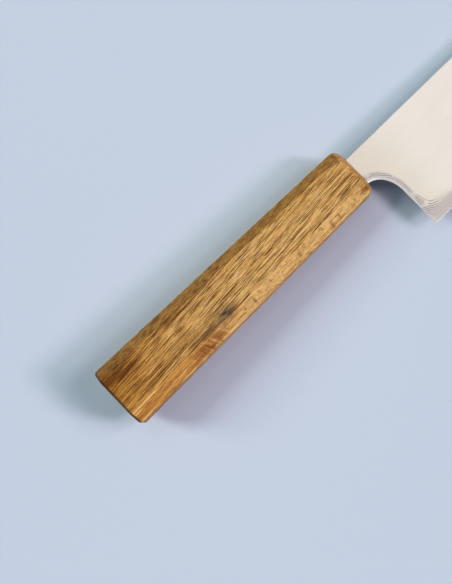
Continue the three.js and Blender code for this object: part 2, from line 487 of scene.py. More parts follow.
@dataclass(frozen=True)
class Patch:
    """A soft-edged area of the knife."""

    centre: Triple
    reach: Triple
    fade: Rise = Rise(1.0, 0.15)  # by the distance from the centre, in reaches

    def mask(self, place: Signal) -> Signal:
        """Make the area's mask.

        Args:
            place: Where on the knife.

        Returns:
            1 in the middle, 0 from the reach on.
        """
        graph = place.graph
        offset = graph.vector("SUBTRACT", place, self.centre)
        scaled = graph.vector("DIVIDE", offset, self.reach)
        length = graph.node("ShaderNodeVectorMath", {"operation": "LENGTH"}, {0: scaled}, "Value")
        return self.fade.at(length)


@dataclass(frozen=True)
class Mark:
    """A dark fleck on the handle's upper chamfer that faces the edge."""

    x: float
    y: float
    length: float
    height: float
    strength: float
    z: float = 7.0
    depth: float = 6.0

    def mask(self, place: Signal) -> Signal:
        """Add the fleck's mask, at most its strength."""
        patch = Patch((self.x, self.y, self.z), (self.length / 2, self.height / 2, self.depth))
        return self.strength * patch.mask(place)


@dataclass(frozen=True)
class Oak:
    """Stained and oiled oak: long open pores, growth rings and ray flecks, cut from one block."""

    fibre_rise: float = 4.2  # degrees that the fibres climb towards the spine
    ring_lean: float = 42.0  # degrees from the spine's direction to that across the rings
    pith: float = 70.0
    ring_width: float = 2.6
    dark: Colour = srgb(110, 66, 23)
    middle: Colour = srgb(198, 145, 73)
    light: Colour = srgb(235, 191, 124)
    # gold and amber colour the ray-fleck chamfers, lighter than the flat faces partly by painted light
    gold: Colour = srgb(255, 211, 132)
    amber: Colour = srgb(222, 156, 66)
    shade: Colour = (0.61, 0.49, 0.26)  # painted shade, multiplied over the spine-side upper chamfer and the edge-side lower one
    handled: Colour = (0.77, 0.62, 0.36)  # of the flat faces towards the butt, darkened by the hand
    rust: Colour = srgb(146, 80, 26)
    plum: Colour = srgb(100, 56, 34)
    hollow: Colour = srgb(82, 44, 15)  # of the pores
    smoke: Colour = srgb(58, 46, 42)
    end: Colour = srgb(44, 31, 19)
    late: Colour = srgb(116, 82, 48)  # of the rings' dense wood on the sawn butt
    stop_places: Triple = (0.05, 0.48, 0.92)  # of the dark, middle and light tones
    tone: float = 0.67
    fibre_weight: float = 2.1
    flick_weight: float = 0.9
    roughness: float = 0.46
    specular: float = 0.2
    relief: float = 0.06

    sway: Pattern = Pattern(55.0, 16.0)
    sway_width: Triple = (0.0, 1.2, 1.2)
    streak: Pattern = Pattern(46.0, 1.5, 4.0, 0.6)
    cloud: Pattern = Pattern(24.0, 6.0)
    fibre: Pattern = Pattern(18.0, 0.18, 1.0)
    flick: Pattern = Pattern(1.3, 0.22, 1.0)
    ripple: Pattern = Pattern(1.0, 3.0, 2.0, 0.6)
    speck: Pattern = Pattern(2.4, 0.5, 2.0, 0.6)
    figure: Pattern = Pattern(1.5, 6.0, 3.0, 0.6)
    figure_slant: float = 0.55
    patchy: Pattern = Pattern(5.0, 0.8, 2.0, 0.6)
    long_pore: Pattern = Pattern(22.0, 0.44)
    long_pore_reach: float = 0.36  # from its middle, in spreads
    fine_pore: Pattern = Pattern(9.0, 0.27)
    fine_pore_reach: float = 0.39

    dark_butt: Patch = Patch((-125.0, 6.5, 7.0), (22.0, 7.0, 12.0))
    seam: Patch = Patch((-88.0, 7.7, 8.0), (52.0, 1.8, 5.0))
    smear: Patch = Patch((-76.0, -6.2, 8.0), (9.5, 4.0, 7.0))
    smear_tail: Patch = Patch((-87.0, -6.4, 8.0), (13.0, 2.4, 6.0))
    stain: Patch = Patch((-89.0, -10.6, 7.0), (14.0, 6.0, 7.0))
    knot: Patch = Patch((-2.8, -8.8, 6.0), (3.4, 1.9, 4.0))
    marks: tuple[Mark, ...] = (
        Mark(-69.5, -10.0, 3.4, 1.6, 0.55),
        Mark(-64.2, -10.2, 2.2, 5.4, 0.6),
        Mark(-54.6, -8.7, 1.8, 2.0, 0.6),
        Mark(-39.2, -9.4, 2.8, 3.6, 0.6),
        Mark(-35.9, -11.7, 3.4, 1.7, 0.8),
        Mark(-41.7, -11.3, 7.0, 0.9, 0.5),
        Mark(-21.7, -10.3, 2.6, 5.0, 0.6),
        Mark(-17.5, -9.1, 2.0, 2.4, 0.6),
    )

    chamfer_edge: Rise = Rise(-0.45, -0.1)  # by the distance out past the facet
    spine_side: Rise = Rise(-4.0, 4.0)  # by y times z
    early: Rise = Rise(0.75, 0.05)  # by the place in a ring
    towards_butt: Rise = Rise(-75.0, -130.0)  # this one and the next six by x
    front_round: Rise = Rise(-3.2, -0.8)
    amber_butt: Rise = Rise(-50.0, -112.0)
    clean_front: Rise = Rise(-105.0, -85.0, 0.35)
    butt_rim: Rise = Rise(-128.6, -129.5)
    sawn: Rise = Rise(-129.5, -129.95, 0.85)
    front_face: Rise = Rise(-0.5, -0.05, 0.55)
    rust_specks: Rise = Rise(0.52, 0.66, 0.75)  # this one and the rest by a noise
    gold_streaks: Rise = Rise(0.48, 0.64, 0.9)
    rust_streaks: Rise = Rise(0.46, 0.32, 0.45)
    stain_figure: Rise = Rise(0.34, 0.58)
    broken_figure: Rise = Rise(0.3, 0.5)
    smoke_figure: Rise = Rise(0.35, 0.6, 0.4)

    def grain(self) -> Matrix:
        """Return the turn from the knife's frame to the fibre direction, the one out from the pith and the
        one round it.
        """
        lean = Matrix.Rotation(math.radians(-self.ring_lean), 4, "X")
        return lean @ Matrix.Rotation(math.radians(-self.fibre_rise), 4, "Z")

    def chamfers(self, knife: Signal, handle: Handle) -> tuple[Signal, Signal]:
        """Make the masks of the chamfers: two show ray flecks and take painted light, two take painted shade.

        Args:
            knife: Where on the knife.
            handle: The handle's sizes.

        Returns:
            The mask of the edge-side upper chamfer and the spine-side lower one, which show ray flecks and
            take painted light, and that of the other two, which take painted shade.
        """
        x, y, z = knife.graph.split(knife)
        butt = (handle.butt_height + handle.butt_width) / 2 - handle.butt_corner
        front = (handle.front_height + handle.front_width) / 2 - handle.front_corner
        beyond = abs(y) + abs(z) - front + x * ((butt - front) / handle.length)
        chamfer = self.chamfer_edge.at(beyond)
        spine_side = self.spine_side.at(y * z)
        return chamfer * (1.0 - spine_side), chamfer * spine_side

    @staticmethod
    def dashes(place: Signal, pattern: Pattern, share: Number) -> Signal:
        """Make the mask of thin dark dashes along the fibre, of unequal size and strength.

        Args:
            place: Where in the grain.
            pattern: Their spread.
            share: How far a dash reaches from its middle, in spreads.

        Returns:
            Up to 1 in a dash, by its own strength.
        """
        graph = place.graph
        seed = pattern.cells(place)
        strength, size, _ = graph.split(seed.also("Color"))
        reach = share * (0.7 + 0.5 * size)
        return graph.step(seed, reach, 0.75 * reach) * (0.5 + 0.6 * strength)

    def material(self, handle: Handle) -> bpy.types.Material:
        """Write the wood's shader.

        Args:
            handle: The handle's sizes.

        Returns:
            The material.
        """
        graph = Finish("oak")
        knife = LYING.place(graph)
        x, y, _ = graph.split(knife)
        flecked_lit_chamfer, shaded_chamfer = self.chamfers(knife, handle)
        straight = LYING.place(graph, self.grain())
        sway = graph.vector("SUBTRACT", self.sway.noise(straight).also("Color"), (0.5, 0.5, 0.5))
        grain = graph.vector("ADD", straight, graph.vector("MULTIPLY", sway, self.sway_width))
        _, outward, around = graph.split(grain)

        distance = graph.math("SQRT", (outward + self.pith) ** 2.0 + around ** 2.0)
        early = self.early.at(graph.math("FRACT", distance / self.ring_width))

        # The weights in these two sums say how much each feature opens the pores or shifts the tone.
        streak = self.streak.noise(grain)
        cloud = self.cloud.noise(grain)
        fibre = self.fibre.noise(grain)
        flick = self.flick.noise(grain)
        butt = self.dark_butt.mask(knife)
        towards_butt = self.towards_butt.at(x)
        seam = self.seam.mask(knife)
        tail = self.smear_tail.mask(knife)
        front = self.front_round.at(x)
        more = 0.06 * early + 0.14 * butt + 0.12 * tail + 0.1 * seam + 0.03 * towards_butt
        tone = self.tone + 0.3 * (streak - 0.5) + 0.25 * (cloud - 0.5) + self.fibre_weight * (fibre - 0.5)
        tone = tone + self.flick_weight * (flick - 0.5)
        tone = tone - 0.06 * early - 0.4 * butt * (0.4 + cloud) - 0.15 * front - 0.12 * seam

        long_dash = self.dashes(grain, self.long_pore, self.long_pore_reach + more)
        fine_dash = self.dashes(grain, self.fine_pore, self.fine_pore_reach + more)
        pore = graph.most(long_dash, fine_dash) * (1.0 - 0.6 * front)
        stops = tuple(zip(self.stop_places, (self.dark, self.middle, self.light)))
        colour = graph.node("ShaderNodeValToRGB", {"stops": stops}, {"Fac": tone})
        colour = graph.mix(towards_butt * (1.0 - flecked_lit_chamfer - shaded_chamfer), colour, self.handled, "MULTIPLY")

        ripple = self.ripple.noise(knife)
        # The ray-fleck chamfers' colour: real figure with rust specks and streaks, lighter overall than the
        # flat faces by painted light.
        bright = graph.layered(
            self.gold,
            (self.amber_butt.at(x), self.amber),
            (2.8 * (0.56 - ripple), self.amber),
            (self.rust_specks.at(self.speck.noise(grain)), self.rust),
            (self.gold_streaks.at(streak), self.gold),
            (self.rust_streaks.at(streak), self.rust),
        )
        colour = graph.mix(0.95 * flecked_lit_chamfer, colour, bright)
        # Painted shade: the spine-side upper chamfer and the edge-side lower one are multiplied darker than
        # the flat faces.
        colour = graph.mix(shaded_chamfer, colour, self.shade, "MULTIPLY")

        figure = self.figure.noise(graph.join(x + self.figure_slant * y, y, 0.0))
        stain = self.stain.mask(knife) * self.stain_figure.at(figure)
        knot = self.knot.mask(knife) * self.broken_figure.at(figure)
        colour = graph.mix(0.95 * graph.most(stain, knot), colour, self.rust)
        broken = self.broken_figure.at(ripple)
        colour = graph.layered(colour, *((mark.mask(knife) * broken, self.plum) for mark in self.marks))

        patchy = 0.6 + self.smoke_figure.at(self.patchy.noise(grain))
        smoke = graph.most(self.smear.mask(knife), 0.6 * tail) * patchy
        clean = 0.3 + self.clean_front.at(x)
        pit = graph.mix(flecked_lit_chamfer, self.hollow, self.rust)
        ends = graph.most(self.butt_rim.at(x), self.front_face.at(x))
        cut = graph.mix(self.sawn.at(x) * (1.0 - early) * (1.0 - pore), self.end, self.late)
        colour = graph.layered(
            colour,
            (1.1 * smoke, self.smoke),
            (0.96 * pore * (1.0 - clean * flecked_lit_chamfer), pit),
            (0.85 * ends, cut),
        )
        sockets = {
            "Base Color": colour,
            "Roughness": self.roughness + 0.2 * pore + 0.1 * (fibre - 0.5) + 0.2 * ends,
            "Specular IOR Level": self.specular,
            "Normal": graph.bump(0.3 * fibre - pore, self.relief),
        }
        return graph.surface(sockets)


class Layer(Enum):
    """The layers of the blade that take a finish."""

    CLADDING = "cladding_steel"
    CORE = "core_steel"


@dataclass(frozen=True)
class BladeSteel:
    """Satin steel of a welded blade, with the line of the core and the layers that bend round the heel."""

    flat: Colour = srgb(245, 237, 226)
    dull: Colour = srgb(231, 220, 204)  # of the flat towards the neck
    hazy: Colour = srgb(207, 199, 196)
    line: Colour = srgb(88, 86, 92)
    core: Colour = srgb(199, 190, 184)
    # painted highlight of the eased neck and choil rims and of the cutting edge's bevel
    edge: Colour = srgb(252, 252, 252)
    roughness: float = 0.3
    relief: float = 0.004
    core_line: float = 4.6
    core_line_wave: float = 3.0
    core_line_blur: tuple[float, float] = (1.3, 0.8)  # above and below it
    edge_width: float = 0.14
    edge_blur: tuple[float, float] = (0.15, 0.1)
    line_step: float = 0.7  # between neighbouring layer lines
    line_slant: float = 0.22  # by which they leave the choil on the way down
    line_wave: float = 1.5
    heel_round: float = 6.0  # of the bend in which the lines turn along the edge
    heel_lift: float = 1.5  # of that bend over the edge

    wave: Pattern = Pattern(8.0, 8.0, 4.0, 0.6)
    ripple: Pattern = Pattern(5.0, 5.0)
    broken: Pattern = Pattern(3.0, 3.0)
    cloud: Pattern = Pattern(14.0, 7.0, 3.0)
    satin: Pattern = Pattern(26.0, 0.12, 2.0, 0.7)

    dull_neck: Rise = Rise(27.0, 3.0)  # this one and the next five by x
    core_heel: Rise = Rise(9.0, 13.0, 0.6)
    whole_heel: Rise = Rise(1.0, 5.0, 0.14)
    lined_heel: Rise = Rise(24.0, 13.0)
    veiled_heel: Rise = Rise(26.0, 12.0)
    highlight_along_neck: Rise = Rise(6.5, 3.0)
    fan: Rise = Rise(16.0, 6.0)  # by the distance from the edge
    line_tone: Rise = Rise(0.0, 0.8)  # by the wave of the lines
    veil: Rise = Rise(3.2, 1.3)  # by the distance from the choil or the edge
    neck_highlight: Rise = Rise(0.65, 0.3)  # this one and the next by the distance from the choil; they place painted highlights along the eased rims
    choil_highlight: Rise = Rise(0.4, 0.15, 0.3)

    def material(self, blade: Blade, layer: Layer) -> bpy.types.Material:
        """Write the steel's shader.

        Args:
            blade: The blade's sizes.
            layer: Which layer it is for.

        Returns:
            The material.
        """
        graph = Finish(layer.value)
        knife = LYING.place(graph)
        x, y, _ = graph.split(knife)
        belly = graph.most((x - blade.belly_start) / blade.belly_length(), 0.0)
        from_edge = y - blade.edge_y() - blade.tip_rise * belly * belly
        above = graph.most(y - blade.choil_y(), 0.0) / blade.choil_height
        across = x / blade.neck_length
        from_choil = (graph.math("SQRT", across * across + above * above) - 1.0) * blade.neck_length

        line = self.core_line + self.core_line_wave * (self.wave.noise(knife) - 0.5)
        blur_above, blur_below = self.core_line_blur
        bare = graph.step(from_edge, line + blur_above, line - blur_below)
        bare = bare * (0.4 + self.core_heel.at(x))

        # The lines follow the choil, then the edge; they end at a distance that fans out at the heel.
        drop = graph.math("SMOOTH_MIN", from_choil, 0.8 * (from_edge - self.heel_lift), self.heel_round)
        ripple = self.line_wave * (self.ripple.noise(knife) - 0.5)
        turns = (drop + self.line_slant * y + ripple) * (math.tau / self.line_step)
        fan = self.fan.at(from_edge)
        whole = self.whole_heel.at(x)
        lines = self.line_tone.at(graph.math("SINE", turns))
        lines = lines * graph.step(self.broken.noise(knife), 0.48 - whole, 0.6 - whole)
        lines = lines * graph.step(drop, 2.9 + 2.6 * fan, 2.0 + 1.0 * fan)
        lines = lines * graph.step(drop, 0.9 - fan, 1.5 - fan)
        lines = lines * self.lined_heel.at(x)
        veil = self.veil.at(drop) * self.veiled_heel.at(x)

        satin = self.satin.noise(knife)
        wide, narrow = self.edge_blur
        edge = graph.step(from_edge, self.edge_width + wide, self.edge_width - narrow)
        # Painted highlight: white along the eased rims of the neck and the choil and along the cutting edge.
        rim = self.neck_highlight.at(from_choil) * self.highlight_along_neck.at(x)
        rim = graph.most(graph.most(rim, self.choil_highlight.at(from_choil)), edge)
        colour = graph.layered(
            self.flat,
            (self.dull_neck.at(x), self.dull),
            (0.34 * (self.cloud.noise(knife) - 0.2), self.hazy),
            (0.9 * veil, self.hazy),
            (0.85 * lines, self.line),
            (0.95 * bare, self.core),
            (0.16 * satin, self.hazy),
            (rim, self.edge),
        )
        sockets = {
            "Base Color": colour,
            "Metallic": 1.0,
            "Roughness": self.roughness + 0.14 * (satin - 0.5) + 0.06 * bare + 0.05 * lines,
            "Normal": graph.bump(0.6 * satin - 0.5 * lines, self.relief),
        }
        return graph.surface(sockets)


@dataclass(frozen=True)
class DowelWood:
    """Bare pale wood of the dowel, with darker end grain."""

    pale: Colour = srgb(205, 172, 124)
    deep: Colour = srgb(158, 118, 74)
    roughness: float = 0.7
    relief: float = 0.05
    fibre: Pattern = Pattern(14.0, 0.5, 3.0, 0.6)
    pores: Pattern = Pattern(6.0, 0.4)
    pore_edge: Rise = Rise(0.35, 0.15)
    end: Rise = Rise(-0.6, -0.1, 0.3)

    def material(self) -> bpy.types.Material:
        """Write the wood's shader.

        Returns:
            The material.
        """
        graph = Finish("dowel_wood")
        place = LYING.place(graph)
        fibre = self.fibre.noise(place)
        pore = self.pore_edge.at(self.pores.cells(place))
        x, _, _ = graph.split(place)
        deep = 0.5 * pore + self.end.at(x)
        sockets = {
            "Base Color": graph.layered(self.pale, (fibre, self.deep), (deep, self.deep)),
            "Roughness": self.roughness + 0.2 * (fibre - 0.5),
            "Normal": graph.bump(0.4 * fibre - pore, self.relief),
        }
        return graph.surface(sockets)


@dataclass(frozen=True)
class Resin:
    """Cured epoxy, with small bubbles."""

    amber: Colour = srgb(196, 166, 92)
    cloudy: Colour = srgb(172, 142, 84)
    roughness: float = 0.3
    relief: float = 0.05
    cloud: Pattern = Pattern(3.0, 3.0, 3.0)
    bubbles: Pattern = Pattern(1.4, 1.4)
    bubble_edge: Rise = Rise(0.22, 0.1)

    def material(self) -> bpy.types.Material:
        """Write the resin's shader.

        Returns:
            The material.
        """
        graph = Finish("epoxy")
        place = LYING.place(graph)
        cloud = self.cloud.noise(place)
        bubble = self.bubble_edge.at(self.bubbles.cells(place))
        sockets = {
            "Base Color": graph.mix(cloud, self.amber, self.cloudy),
            "Roughness": self.roughness + 0.2 * (cloud - 0.5),
            "Normal": graph.bump(bubble, self.relief),
        }
        return graph.surface(sockets)


@dataclass(frozen=True)
class Sealant:
    """Dark matt filler, slightly uneven from the finger that smoothed it."""

    dark: Colour = srgb(58, 42, 30)
    dusty: Colour = srgb(92, 72, 54)
    roughness: float = 0.6
    relief: float = 0.06
    uneven: Pattern = Pattern(1.2, 1.2, 4.0, 0.6)

    def material(self) -> bpy.types.Material:
        """Write the sealant's shader.

        Returns:
            The material.
        """
        graph = Finish("sealant")
        uneven = self.uneven.noise(LYING.place(graph))
        sockets = {
            "Base Color": graph.mix(uneven * uneven, self.dark, self.dusty),
            "Roughness": self.roughness + 0.25 * (uneven - 0.5),
            "Normal": graph.bump(uneven, self.relief),
        }
        return graph.surface(sockets)


@dataclass(frozen=True)
class Table:
    """Plain pale matt table top."""

    pale: Colour = srgb(205, 215, 231)
    shade: Colour = srgb(202, 212, 229)
    roughness: float = 0.7
    specular: float = 0.2
    cloud: Pattern = Pattern(0.2, 0.2)  # in metres

    def material(self) -> bpy.types.Material:
        """Write the table's shader.

        Returns:
            The material.
        """
        graph = Finish("table")
        cloud = self.cloud.noise(graph.node("ShaderNodeTexCoord", {}, {}, "Object"))
        sockets = {
            "Base Color": graph.mix(cloud, self.pale, self.shade),
            "Roughness": self.roughness,
            "Specular IOR Level": self.specular,
        }
        return graph.surface(sockets)


@dataclass
class Handle:
    """The one-piece octagonal handle, with eased facet edges and the seat for the tang in its front."""

    length: float = 130.0
    butt_height: float = 27.4
    butt_width: float = 20.0
    butt_corner: float = 4.7
    front_height: float = 22.2
    front_width: float = 17.2
    front_corner: float = 4.1
    butt_chamfer: float = 1.0
    chamfer_ease: float = 0.25
    front_round_length: float = 3.0
    front_round_depth: float = 2.8
    front_rings: tuple[float, float] = (0.6, 1.4)  # inside the round, to keep the front face flat
    round_steps: int = 9
    stations: int = 18
    columns: int = 320
    crispness: float = 110.0  # power that eases the facet edges: the higher, the sharper
    deepest_inset: float = 3.0
    bore_radius: float = 4.7
    bore_depth: float = 94.4
    bore_sides: int = 64
    inlet_low: Triple = (-4.2, -7.6, -1.31)
    inlet_high: Triple = (5.0, 5.8, 1.31)
    mouth_low: Triple = (-0.9, -8.0, -1.71)
    mouth_high: Triple = (5.0, 6.2, 1.71)
    sharp: float = 30.0  # degrees from which an edge is shaded sharp

    def half_height(self, x: float) -> float:
        """Return half the handle's height at x."""
        share = 1 + x / self.length
        return (self.butt_height + share * (self.front_height - self.butt_height)) / 2

    def profile(self) -> list[tuple[float, float]]:
        """Find the outline in the handle's middle plane.

        Returns:
            Its points, from the butt's middle to the front's.
        """
        butt = -self.length
        inner = self.half_height(butt) - self.butt_chamfer
        shoulder = butt + self.butt_chamfer
        outer = self.half_height(shoulder)
        ease = self.chamfer_ease
        sag = 0.12 * ease
        short = 0.3 * ease
        run = 0.7 * ease
        points = [(butt, 0.0), (butt, inner / 2), (butt, inner - 2 * ease), (butt, inner - ease)]
        points += [(butt + sag, inner - short), (butt + run, inner + run)]
        points += [(shoulder - run, outer - run), (shoulder + short, outer - sag)]
        start = shoulder + ease
        end = -self.front_round_length
        for step in range(self.stations + 1):
            x = start + (end - start) * step / self.stations
            points.append((x, self.half_height(x)))
        for step in range(1, self.round_steps + 1):
            turn = QUARTER * step / self.round_steps
            x = end * (1 - math.sin(turn))
            points.append((x, self.half_height(x) - self.front_round_depth * (1 - math.cos(turn))))
        last = points[-1][1]
        points += [(0.0, last - ring) for ring in (*self.front_rings, last)]
        return points

    def profile_mesh(self) -> bpy.types.Mesh:
        """Build the outline.

        Returns:
            A mesh of joined points.
        """
        points = [(x, y, 0.0) for x, y in self.profile()]
        mesh = bpy.data.meshes.new("handle_profile")
        mesh.from_pydata(points, [(i, i + 1) for i in range(len(points) - 1)], [])
        return mesh

    def skin(self, recipe: Recipe) -> Signal:
        """Add the nodes that carry the profile round the axis on the octagon's rule.

        Args:
            recipe: The tree.

        Returns:
            The closed skin.
        """
        length = recipe.take("Length", self.length)
        columns = recipe.take("Columns", self.columns)
        crispness = recipe.take("Crispness", self.crispness)
        deepest = recipe.take("Deepest Inset", self.deepest_inset)
        sizes = {}
        for name in ("height", "width", "corner"):
            butt = recipe.take(f"Butt {name.title()}", getattr(self, f"butt_{name}"))
            sizes[name] = (butt, recipe.take(f"Front {name.title()}", getattr(self, f"front_{name}")))

        profile = recipe.start()
        count = recipe.node("GeometryNodeAttributeDomainSize", {"component": "MESH"}, {"Geometry": profile})
        grid = recipe.node("GeometryNodeMeshGrid", {}, {"Vertices X": count, "Vertices Y": columns})
        index = recipe.node("GeometryNodeInputIndex")
        station = recipe.math("FLOOR", (index + 0.5) / columns)
        angle = (index - station * columns) * math.tau / (columns - 1.0)
        sockets = {"Geometry": profile, "Value": recipe.node("GeometryNodeInputPosition"), "Index": station}
        point = recipe.node("GeometryNodeSampleIndex", {"data_type": "FLOAT_VECTOR"}, sockets)
        x, out, _ = recipe.split(point)

        share = 1.0 + x / length
        height, width, corner = (b + share * (f - b) for b, f in sizes.values())
        inset = recipe.math("MINIMUM", height / 2.0 - out, deepest)
        tall = height / 2.0 - inset
        wide = width / 2.0 - inset
        cut = corner - inset * (2.0 - math.sqrt(2.0))
        up = recipe.math("COSINE", angle)
        side = recipe.math("SINE", angle)
        facets = (abs(up) / tall, abs(side) / wide, (abs(up) + abs(side)) / (tall + wide - cut))
        most = recipe.most(recipe.most(facets[0], facets[1]), facets[2])
        total = sum((facet / most) ** crispness for facet in facets)
        reach = out / tall / (most * total ** (1.0 / crispness))
        sockets = {"Geometry": grid, "Position": recipe.join(x, reach * up, reach * side)}
        pushed = recipe.node("GeometryNodeSetPosition", {}, sockets)
        sockets = {"Geometry": pushed, "Distance": SAME_POINT / MM}
        return recipe.node("GeometryNodeMergeByDistance", {}, sockets)

    def block(self, recipe: Recipe, name: str, low: Triple, high: Triple) -> Signal:
        """Add a block that cuts the handle.

        Args:
            recipe: The tree.
            name: What it cuts, for its named inputs.
            low: Lowest corner.
            high: Highest corner.

        Returns:
            The block.
        """
        lowest = recipe.take(f"{name} Low", Vector(low))
        highest = recipe.take(f"{name} High", Vector(high))
        size = recipe.vector("SUBTRACT", highest, lowest)
        cube = recipe.node("GeometryNodeMeshCube", {}, {"Size": size})
        middle = recipe.vector("MULTIPLY", recipe.vector("ADD", lowest, highest), (0.5, 0.5, 0.5))
        return recipe.node("GeometryNodeTransform", {}, {"Geometry": cube, "Translation": middle})

    def bore(self, recipe: Recipe) -> Signal:
        """Add the round bar that cuts the dowel's bore.

        Args:
            recipe: The tree.

        Returns:
            The bar.
        """
        radius = recipe.take("Bore Radius", self.bore_radius)
        depth = recipe.take("Bore Depth", self.bore_depth)
        beyond = self.inlet_high[0]
        sockets = {"Vertices": self.bore_sides, "Radius": radius, "Depth": depth + beyond}
        bar = recipe.node("GeometryNodeMeshCylinder", {}, sockets)
        middle = recipe.join((beyond - depth) / 2.0, 0.0, 0.0)
        sockets = {"Geometry": bar, "Translation": middle, "Rotation": (0.0, QUARTER, 0.0)}
        return recipe.node("GeometryNodeTransform", {}, sockets)

    def build(self, oak: Oak) -> None:
        """Build and dress the handle.

        Args:
            oak: Its wood.
        """
        piece = new_piece("handle", self.profile_mesh())
        recipe = Recipe("octagon_handle")
        skin = self.skin(recipe)
        cutters = [
            self.bore(recipe),
            self.block(recipe, "Inlet", self.inlet_low, self.inlet_high),
            self.block(recipe, "Mouth", self.mouth_low, self.mouth_high),
        ]
        sockets = {"Mesh 1": skin, "Mesh 2": cutters}
        cut = recipe.node("GeometryNodeMeshBoolean", {"operation": "DIFFERENCE", "solver": "EXACT"}, sockets)
        recipe.make(piece, recipe.placed(cut, LYING.matrix()), oak.material(self))
        smooth(piece, self.sharp)
        settle(piece, "oak", "handle_body")


@dataclass
class NeckSeal:
    """The bead of dark filler round the neck in the handle's mouth."""

    neck_middle: float = -0.9
    neck_height: float = 13.0
    neck_thickness: float = 2.21
    stand_off: float = 0.3  # bead's middle from the neck
    width: float = 0.4
    back: float = -0.8
    front: float = 0.2
    corner: float = 0.25
    corner_steps: int = 5
    path_steps: int = 120
    sides: int = 16
    sharp: float = 60.0  # degrees from which an edge is shaded sharp

    def build(self, sealant: Sealant) -> None:
        """Build and dress the bead.

        Args:
            sealant: What it is made of.
        """
        piece = new_piece("neck_bead", bpy.data.meshes.new("neck_bead"))
        recipe = Recipe("bead_round_the_neck")
        around = 2 * self.stand_off
        sockets = {
            "Width": recipe.take("Path Height", self.neck_height + around),
            "Height": recipe.take("Path Thickness", self.neck_thickness + around),
        }
        path = recipe.node("GeometryNodeCurvePrimitiveQuadrilateral", {}, sockets)
        sockets = {"Curve": path, "Count": self.corner_steps, "Radius": recipe.take("Corner", self.corner)}
        path = recipe.node("GeometryNodeFilletCurve", {"mode": "POLY"}, sockets)
        path = recipe.node("GeometryNodeResampleCurve", {}, {"Curve": path, "Count": self.path_steps})
        ring = recipe.node("GeometryNodeCurvePrimitiveCircle", {}, {"Resolution": self.sides, "Radius": 0.5})
        width = recipe.take("Bead Width", self.width)
        scale = recipe.join(width, recipe.take("Bead Depth", self.front - self.back), 1.0)
        ring = recipe.node("GeometryNodeTransform", {}, {"Geometry": ring, "Scale": scale})
        bead = recipe.node("GeometryNodeCurveToMesh", {}, {"Curve": path, "Profile Curve": ring})
        middle = (self.back + self.front) / 2
        upright = Matrix.Rotation(QUARTER, 4, "Z") @ Matrix.Rotation(QUARTER, 4, "X")
        at_mouth = Matrix.Translation((middle, self.neck_middle, 0.0)) @ upright
        recipe.make(piece, recipe.placed(bead, LYING.matrix() @ at_mouth), sealant.material())
        smooth(piece, self.sharp)
        settle(piece, "sealant", "neck_seal")


